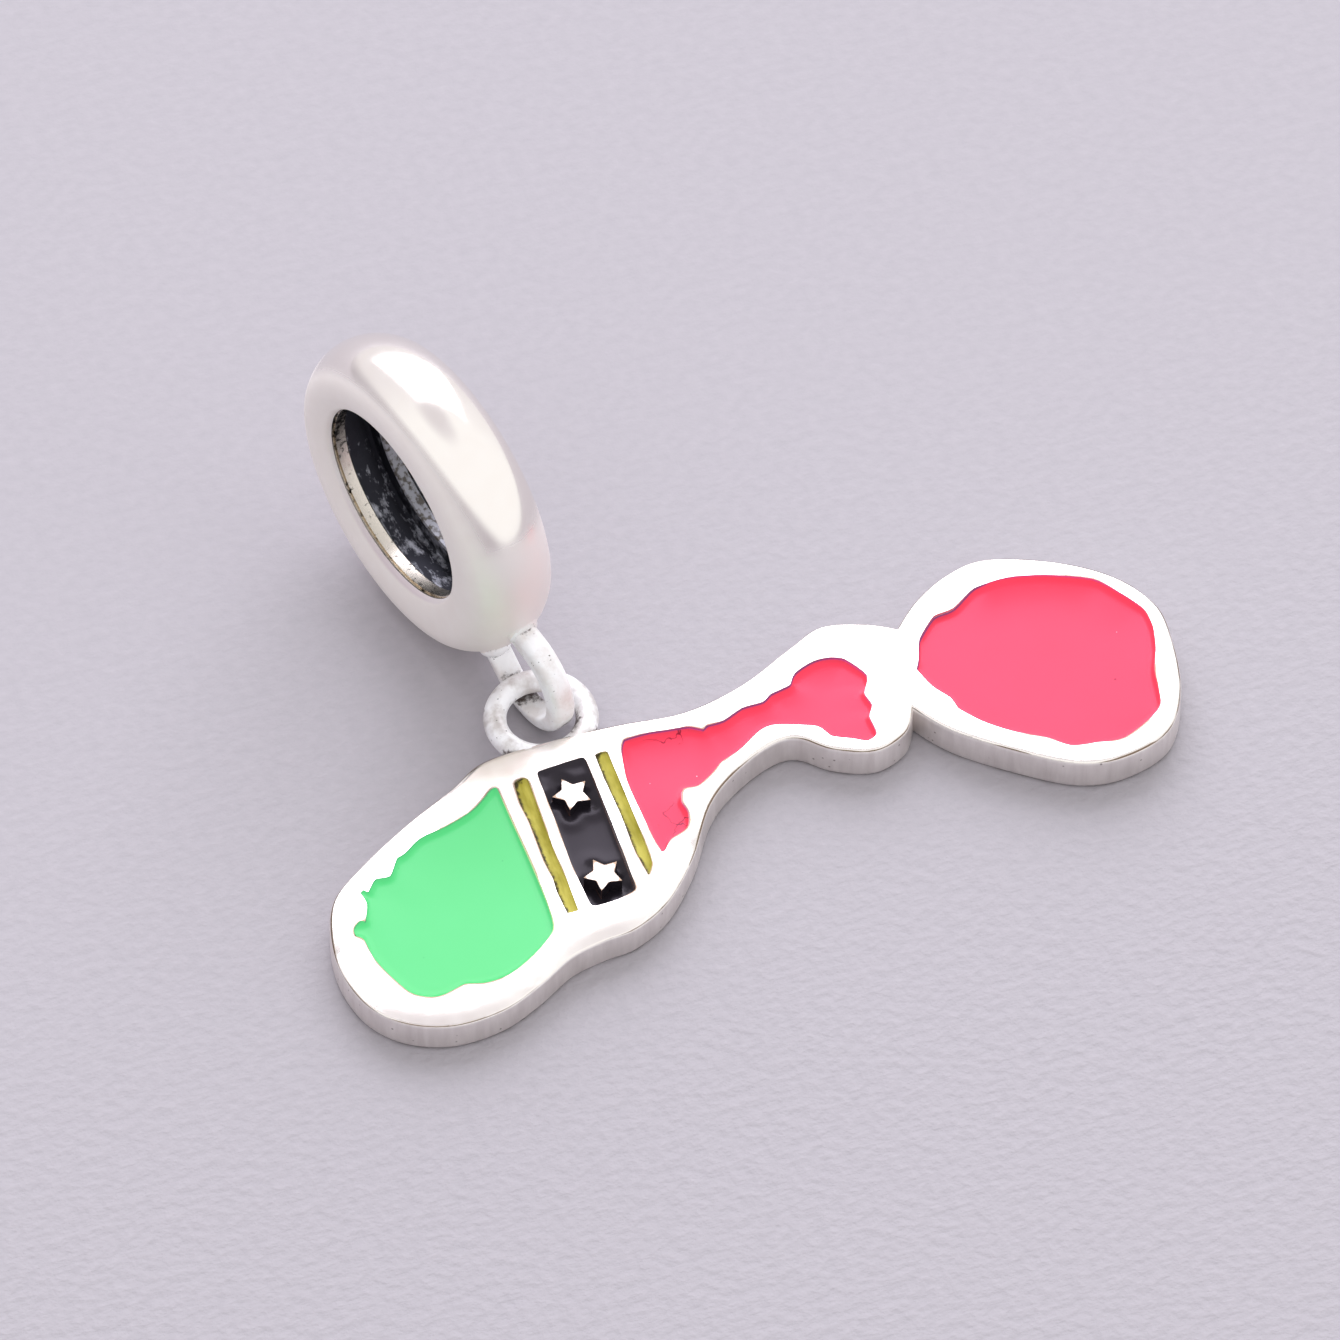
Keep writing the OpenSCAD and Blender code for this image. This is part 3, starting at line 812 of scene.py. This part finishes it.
def make_bead(silver, soldered, dark, lip):
    """The bead, spun from its section, with its bail and the solder at the bail's roots."""
    half, side_end, rim = bead_line()
    other = [Vector((p.x, 0, -p.z)) for p in half]
    bead = drawn_line("bead_section", half[::-1] + other[1:-1])
    # The line is closed by a face, of which the edges are kept
    edit(bead)
    bpy.ops.mesh.select_mode(type="VERT")
    bpy.ops.mesh.select_all(action="SELECT")
    bpy.ops.mesh.edge_face_add()
    bpy.ops.mesh.delete(type="ONLY_FACE")
    bpy.ops.mesh.select_all(action="SELECT")
    bpy.ops.mesh.spin(steps=BEAD_STEPS, angle=2 * math.pi, center=(0, 0, 0), axis=(0, 0, 1))
    bpy.ops.mesh.select_all(action="SELECT")
    bpy.ops.mesh.remove_doubles(threshold=TURNED_WELD)
    face_out()
    # The bore lies off the middle, away from the bail, and the sides follow it
    pick(bead, "VERT", lambda v: v.co.xy.length < side_end.x + MARGIN or (
        v.co.xy.length < HOLLOW_R + MARGIN and abs(v.co.z) < HOLLOW_W + MARGIN))
    bpy.ops.transform.translate(value=(-BORE_OFF, 0, 0), use_proportional_edit=True,
                                use_proportional_connected=True, proportional_size=BORE_FOLLOW,
                                proportional_edit_falloff="SMOOTH")
    done()
    combine(bead, make_bail(), "UNION")
    for place, radii in BAIL_SOLDER:
        combine(bead, blob(place, radii), "UNION")
    bead.location = BEAD_AT
    bead.rotation_euler = BEAD_TURN
    settle(bead)
    finish_piece(bead, "silver_bead", "bead", [silver, soldered, dark, lip])

    def local(face):
        away = face.center / MM - BEAD_AT
        return Vector((away.dot(BAIL_WAY), away.z, away.dot(BORE_AXIS)))

    def from_bore(at):
        return math.hypot(at.x + BORE_OFF, at.y)

    def in_hollow(face):
        at = local(face)
        return abs(at.z) < HOLLOW_W + MARGIN and LIP_R + LIP_BREAK < from_bore(at) < HOLLOW_R + MARGIN

    def on_lip(face):
        at = local(face)
        return abs(at.z) < rim.z + LIP_PAST and from_bore(at) < LIP_R + LIP_DEEP

    paint(bead, soldered, lambda f: local(f).xy.length > BEAD_R + MARGIN)
    paint(bead, lip, on_lip)
    paint(bead, dark, in_hollow)


def make_ring():
    """The plate's ring, closed where its ends run on inside the plate's outline."""
    bpy.ops.object.select_all(action="DESELECT")
    bpy.ops.mesh.primitive_torus_add(major_radius=RING_R, minor_radius=RING_WIRE / 2,
                                     major_segments=RING_STEPS, minor_segments=WIRE_STEPS, location=RING_AT)
    ring = bpy.context.object
    settle(ring)
    inner = flat_start("map_plate", 0, "inner")
    edit(inner)
    bpy.ops.mesh.inset(thickness=RING_SUNK, depth=0, use_even_offset=True)
    pick(inner, "FACE", lambda f: len(f.verts) < RIM_CORNERS)
    bpy.ops.mesh.delete(type="FACE")
    bpy.ops.mesh.select_all(action="SELECT")
    extrude((0, 0, 2 * PLATE_TOP))
    face_out()
    done()
    combine(ring, inner, "DIFFERENCE")
    return ring


def make_plate(silver, cast, soldered, black):
    """The plate, raised from its outline, with its rounded edges, its ring and its cells."""
    rows = rounding(PLATE_ROUND, PLATE_ROUND, ROUND_TURNS)
    edge_in, edge_up = rows[-1]
    rows += [(edge_in + PLATE_ROLL * share, edge_up) for share in ROLL_SHARES]
    wall_top = PLATE_TOP - edge_up
    plate = flat_start("map_plate", 0, "plate")
    edit(plate)
    bpy.ops.mesh.subdivide(number_cuts=1)
    bpy.ops.transform.translate(value=(0, 0, PLATE_FOOT))
    extrude((0, 0, wall_top - PLATE_FOOT))
    face_out()
    pick(plate, "FACE", lambda f: f.calc_center_median().z > wall_top - MARGIN)
    inset_rows(rows)
    pick(plate, "FACE", lambda f: f.calc_center_median().z < PLATE_FOOT + MARGIN
         and f.normal.z < -UNDER_LIMIT)
    inset_rows(rounding(PLATE_FOOT_IN, PLATE_FOOT, FOOT_TURNS))
    done()
    cut_grid(plate, PLATE_GRID)

    def at_front(v):
        sides = [f.normal for f in v.link_faces if EDGE_LOOKS[0] < f.normal.z < EDGE_LOOKS[1]]
        pressed = any(normal.dot(PRESSED_WAY) > PRESSED_LIMIT for normal in sides)
        return v.co.z > PLATE_TOP - CLOSE and v.co.x < PRESSED_TO and pressed

    # The wheel pressed most on the front edge
    edit(plate)
    pick(plate, "VERT", at_front)
    bpy.ops.transform.translate(value=(0, 0, -PLATE_DROP), use_proportional_edit=True,
                                proportional_size=PLATE_FALL, proportional_edit_falloff="SHARP")
    done()
    combine(plate, make_ring(), "UNION")
    # The cells have the floors that the solid gives
    cutter = raised_start("map_plate", CELL_FLOOR, "cells", PLATE_TOP - CELL_FLOOR + CUTTER_PAST)
    combine(plate, cutter, "DIFFERENCE")
    finish_piece(plate, "silver_plate", "map_plate", [silver, cast, soldered, black])

    def on_ring(face):
        away = face.center / MM - RING_AT
        return math.hypot(away.xy.length - RING_R, away.z) < RING_WIRE / 2 + CLOSE

    def on_star_wall(face):
        at = face.center.xy / MM
        return abs(face.normal.z) < WALL_LIMIT and any((at - star).length < STAR_REACH for star in STARS)

    paint(plate, cast, lambda f: abs(f.normal.z) < CAST_LIMIT)
    # The stars' walls take the black enamel as a painted reflection of the dark enamel round them
    paint(plate, black, on_star_wall)
    paint(plate, soldered, on_ring)
    part_finishes(plate, [silver, cast])
    modify(plate, "WEIGHTED_NORMAL", keep_sharp=True)


def make_enamel(cad, name, finish, side, rise, reach, sunk=0.0, moat=0.0, lifted=1.0):
    """One field of enamel, cut to a fine grid. It climbs the walls of its cell, highest and furthest on one
    side, in the share of its length at the right that is lifted, and it sinks round the stars."""
    low, high = (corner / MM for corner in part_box(cad))
    lifts_from = high.x - lifted * (high.x - low.x)
    face = ENAMEL_TOP - rise - sunk
    piece = raised_start("map_plate", CELL_FLOOR, name, face - CELL_FLOOR, cad)
    cut_grid(piece, ENAMEL_GRID)

    def on_shore(edge):
        return edge.calc_face_angle(0) >= SHORE_ANGLE and all(
            v.co.z >= CELL_FLOOR + SHORE_UP for v in edge.verts)

    def by_star(edge):
        return any((edge.verts[0].co.xy - star).length < STAR_REACH for star in STARS)

    def on_side(edge):
        wall = min((f.normal for f in edge.link_faces), key=lambda normal: normal.z)
        return wall.dot(side) > SIDE_LIMIT and edge.verts[0].co.x > lifts_from

    lifts = [(lambda e: on_shore(e) and not by_star(e) and on_side(e), rise, reach, "SHARP"),
             (lambda e: on_shore(e) and not by_star(e), SHORE_RISE, SHORE_REACH, "SHARP")]
    if moat:
        lifts.append((lambda e: on_shore(e) and by_star(e), MOAT_RIM, 2 * MOAT_REACH, "SMOOTH"))
        lifts.append((lambda e: on_shore(e) and by_star(e), -moat - MOAT_RIM, MOAT_REACH, "SMOOTH"))
    edit(piece)
    for test, up, size, falloff in lifts:
        pick(piece, "EDGE", test)
        bpy.ops.transform.translate(value=(0, 0, up), use_proportional_edit=True, proportional_size=size,
                                    proportional_edit_falloff=falloff)
    done()
    finish_piece(piece, name, cad, [finish], smooth=60)


def make_floor():
    """The card that the charm lies on."""
    bpy.ops.object.select_all(action="DESELECT")
    bpy.ops.mesh.primitive_plane_add(size=FLOOR_SIDE)
    floor = bpy.context.object
    floor.name = "floor"
    floor.data.materials.append(photo_card())


def make_softbox():
    """The large soft light behind the charm, mirrored in the plate and the bead."""
    key = bpy.data.lights.new("key_softbox", "AREA")
    key.shape = "RECTANGLE"
    key.size, key.size_y = KEY_SIDES
    key.color = colour("#f4f4ff")[:3]
    key.energy = KEY_RADIANCE * math.pi * key.size * key.size_y
    softbox = bpy.data.objects.new("key_softbox", key)
    bpy.context.scene.collection.objects.link(softbox)
    softbox.location = KEY_AWAY * KEY_WAY
    roll = Quaternion((0, 0, 1), math.radians(KEY_ROLL))
    softbox.rotation_euler = (KEY_WAY.to_track_quat("Z", "Y") @ roll).to_euler()


def make_tent():
    """The walls of the light tent, as the world: white in front, greyer at the back, grey low on the left,
    with a gap in the roof."""
    world = bpy.data.worlds.new("studio")
    world.use_nodes = True
    bpy.context.scene.world = world
    tree = world.node_tree
    tree.nodes.clear()
    low_left = (-0.55, -0.2, -0.8)
    roof_gap = (-0.03, 0.15, 0.988)
    place = node(tree, "TexCoord")
    split = node(tree, "SeparateXYZ", {"Vector": (place, "Generated")})
    depth = node(tree, "MapRange", {"Value": (split, "Y"), "From Min": 0.1, "From Max": 0.7})
    tent = node(tree, "Mix", {"Factor": (depth, "Result"), "A": colour("#fdfdff"), "B": colour("#ece9ee")},
                data_type="RGBA")
    lean = node(tree, "VectorMath", {0: (place, "Generated"), 1: low_left}, operation="DOT_PRODUCT")
    left = node(tree, "MapRange", {"Value": (lean, "Value"), "From Min": -0.1, "From Max": 0.16},
                interpolation_type="SMOOTHSTEP")
    sided = node(tree, "Mix", {"Factor": (left, "Result"), "A": (tent, "Result"), "B": colour("#bdb8c0")},
                 data_type="RGBA")
    roof = node(tree, "VectorMath", {0: (place, "Generated"), 1: roof_gap}, operation="DOT_PRODUCT")
    gap = node(tree, "MapRange", {"Value": (roof, "Value"), "From Min": 0.9, "From Max": 1.0},
               interpolation_type="SMOOTHSTEP")
    gapped = node(tree, "Mix", {"Factor": (gap, "Result"), "A": (sided, "Result"), "B": colour("#dedae0")},
                  data_type="RGBA")
    sky = node(tree, "Background", {"Color": (gapped, "Result"), "Strength": 1.06})
    node(tree, "OutputWorld", {"Surface": (sky, "Background")})


def make_camera():
    """The photograph's view."""
    way = Vector((math.sin(CAMERA_TURN) * math.cos(CAMERA_HEIGHT),
                  -math.cos(CAMERA_TURN) * math.cos(CAMERA_HEIGHT), math.sin(CAMERA_HEIGHT)))
    lens = bpy.data.cameras.new("camera")
    lens.sensor_width = SENSOR
    lens.lens = SENSOR * CAMERA_AWAY / SEEN_ACROSS
    lens.clip_start = 10 * MM
    camera = bpy.data.objects.new("camera", lens)
    bpy.context.scene.collection.objects.link(camera)
    camera.location = LOOK_AT * MM + CAMERA_AWAY * MM * way
    camera.rotation_euler = way.to_track_quat("Z", "Y").to_euler()
    bpy.context.scene.camera = camera


bpy.context.scene.view_settings.view_transform = "Standard"
make_camera()
make_floor()
make_softbox()
make_tent()
# The bail's strip takes a lighter grey than the ring's wire, as painted light on its bend
make_bead(bead_silver(), soldered_silver("pickled_silver_strip", "#f0ece9", 0.12), oxidised_silver(),
          lip_silver())

# The shores' colours are painted wall shade on the upper sides and painted reflections on the lower ones
black = enamel("black_cold_enamel", body=("#1a171c", "#242026"), dust=("#060506", "#d8d4dc"),
               shores=[("#5f3c2c", DOWN)], haze="#f4e9f4", index=1.4, rough=0.3)
green = enamel("green_cold_enamel", body=("#48ce72", "#52d47e"), dust=("#2aa04c", "#34b05c"),
               shores=[("#3f8f66", UP_LEFT), ("#f0ffb8", DOWN_RIGHT)], haze="#ffffff", index=1.47,
               rough=0.25)
red = enamel("red_cold_enamel", body=("#f3384c", "#f63c54"), dust=("#8e0c22", "#ffd0d8"),
             shores=[("#e2408c", UP_RIGHT), ("#8a3f78", UP_LEFT), ("#ffb8cc", DOWN)], haze="#e7cfff",
             index=1.45, rough=0.2, cracks=CRACKS)
# The ring's wire takes a darker grey than the bail's strip, as painted shade from the bead above it
make_plate(plate_silver(), cast_silver(), soldered_silver("pickled_silver_wire", "#d6d1cd", 0.35), black)
make_enamel("green_enamel", "green_fill", green, BROAD_SIDE, rise=0.06, reach=2.5)
make_enamel("black_enamel", "black_fill", black, BROAD_SIDE, rise=0.27, reach=3.3,
            sunk=0.02, moat=MOAT)
for end in ("left", "right"):
    make_enamel(f"yellow_stripe_{end}", f"yellow_fill_{end}",
                streaked_enamel(f"olive_cold_enamel_{end}"), BROAD_SIDE, rise=0.02, reach=0.4, sunk=0.06)
make_enamel("red_enamel", "red_fill", red, NECK_SIDE, rise=0.09, reach=1.3, sunk=0.05)
make_enamel("red_enamel_small", "red_fill_small", red, ISLAND_SIDE, rise=0.12, reach=1.6,
            lifted=0.55)
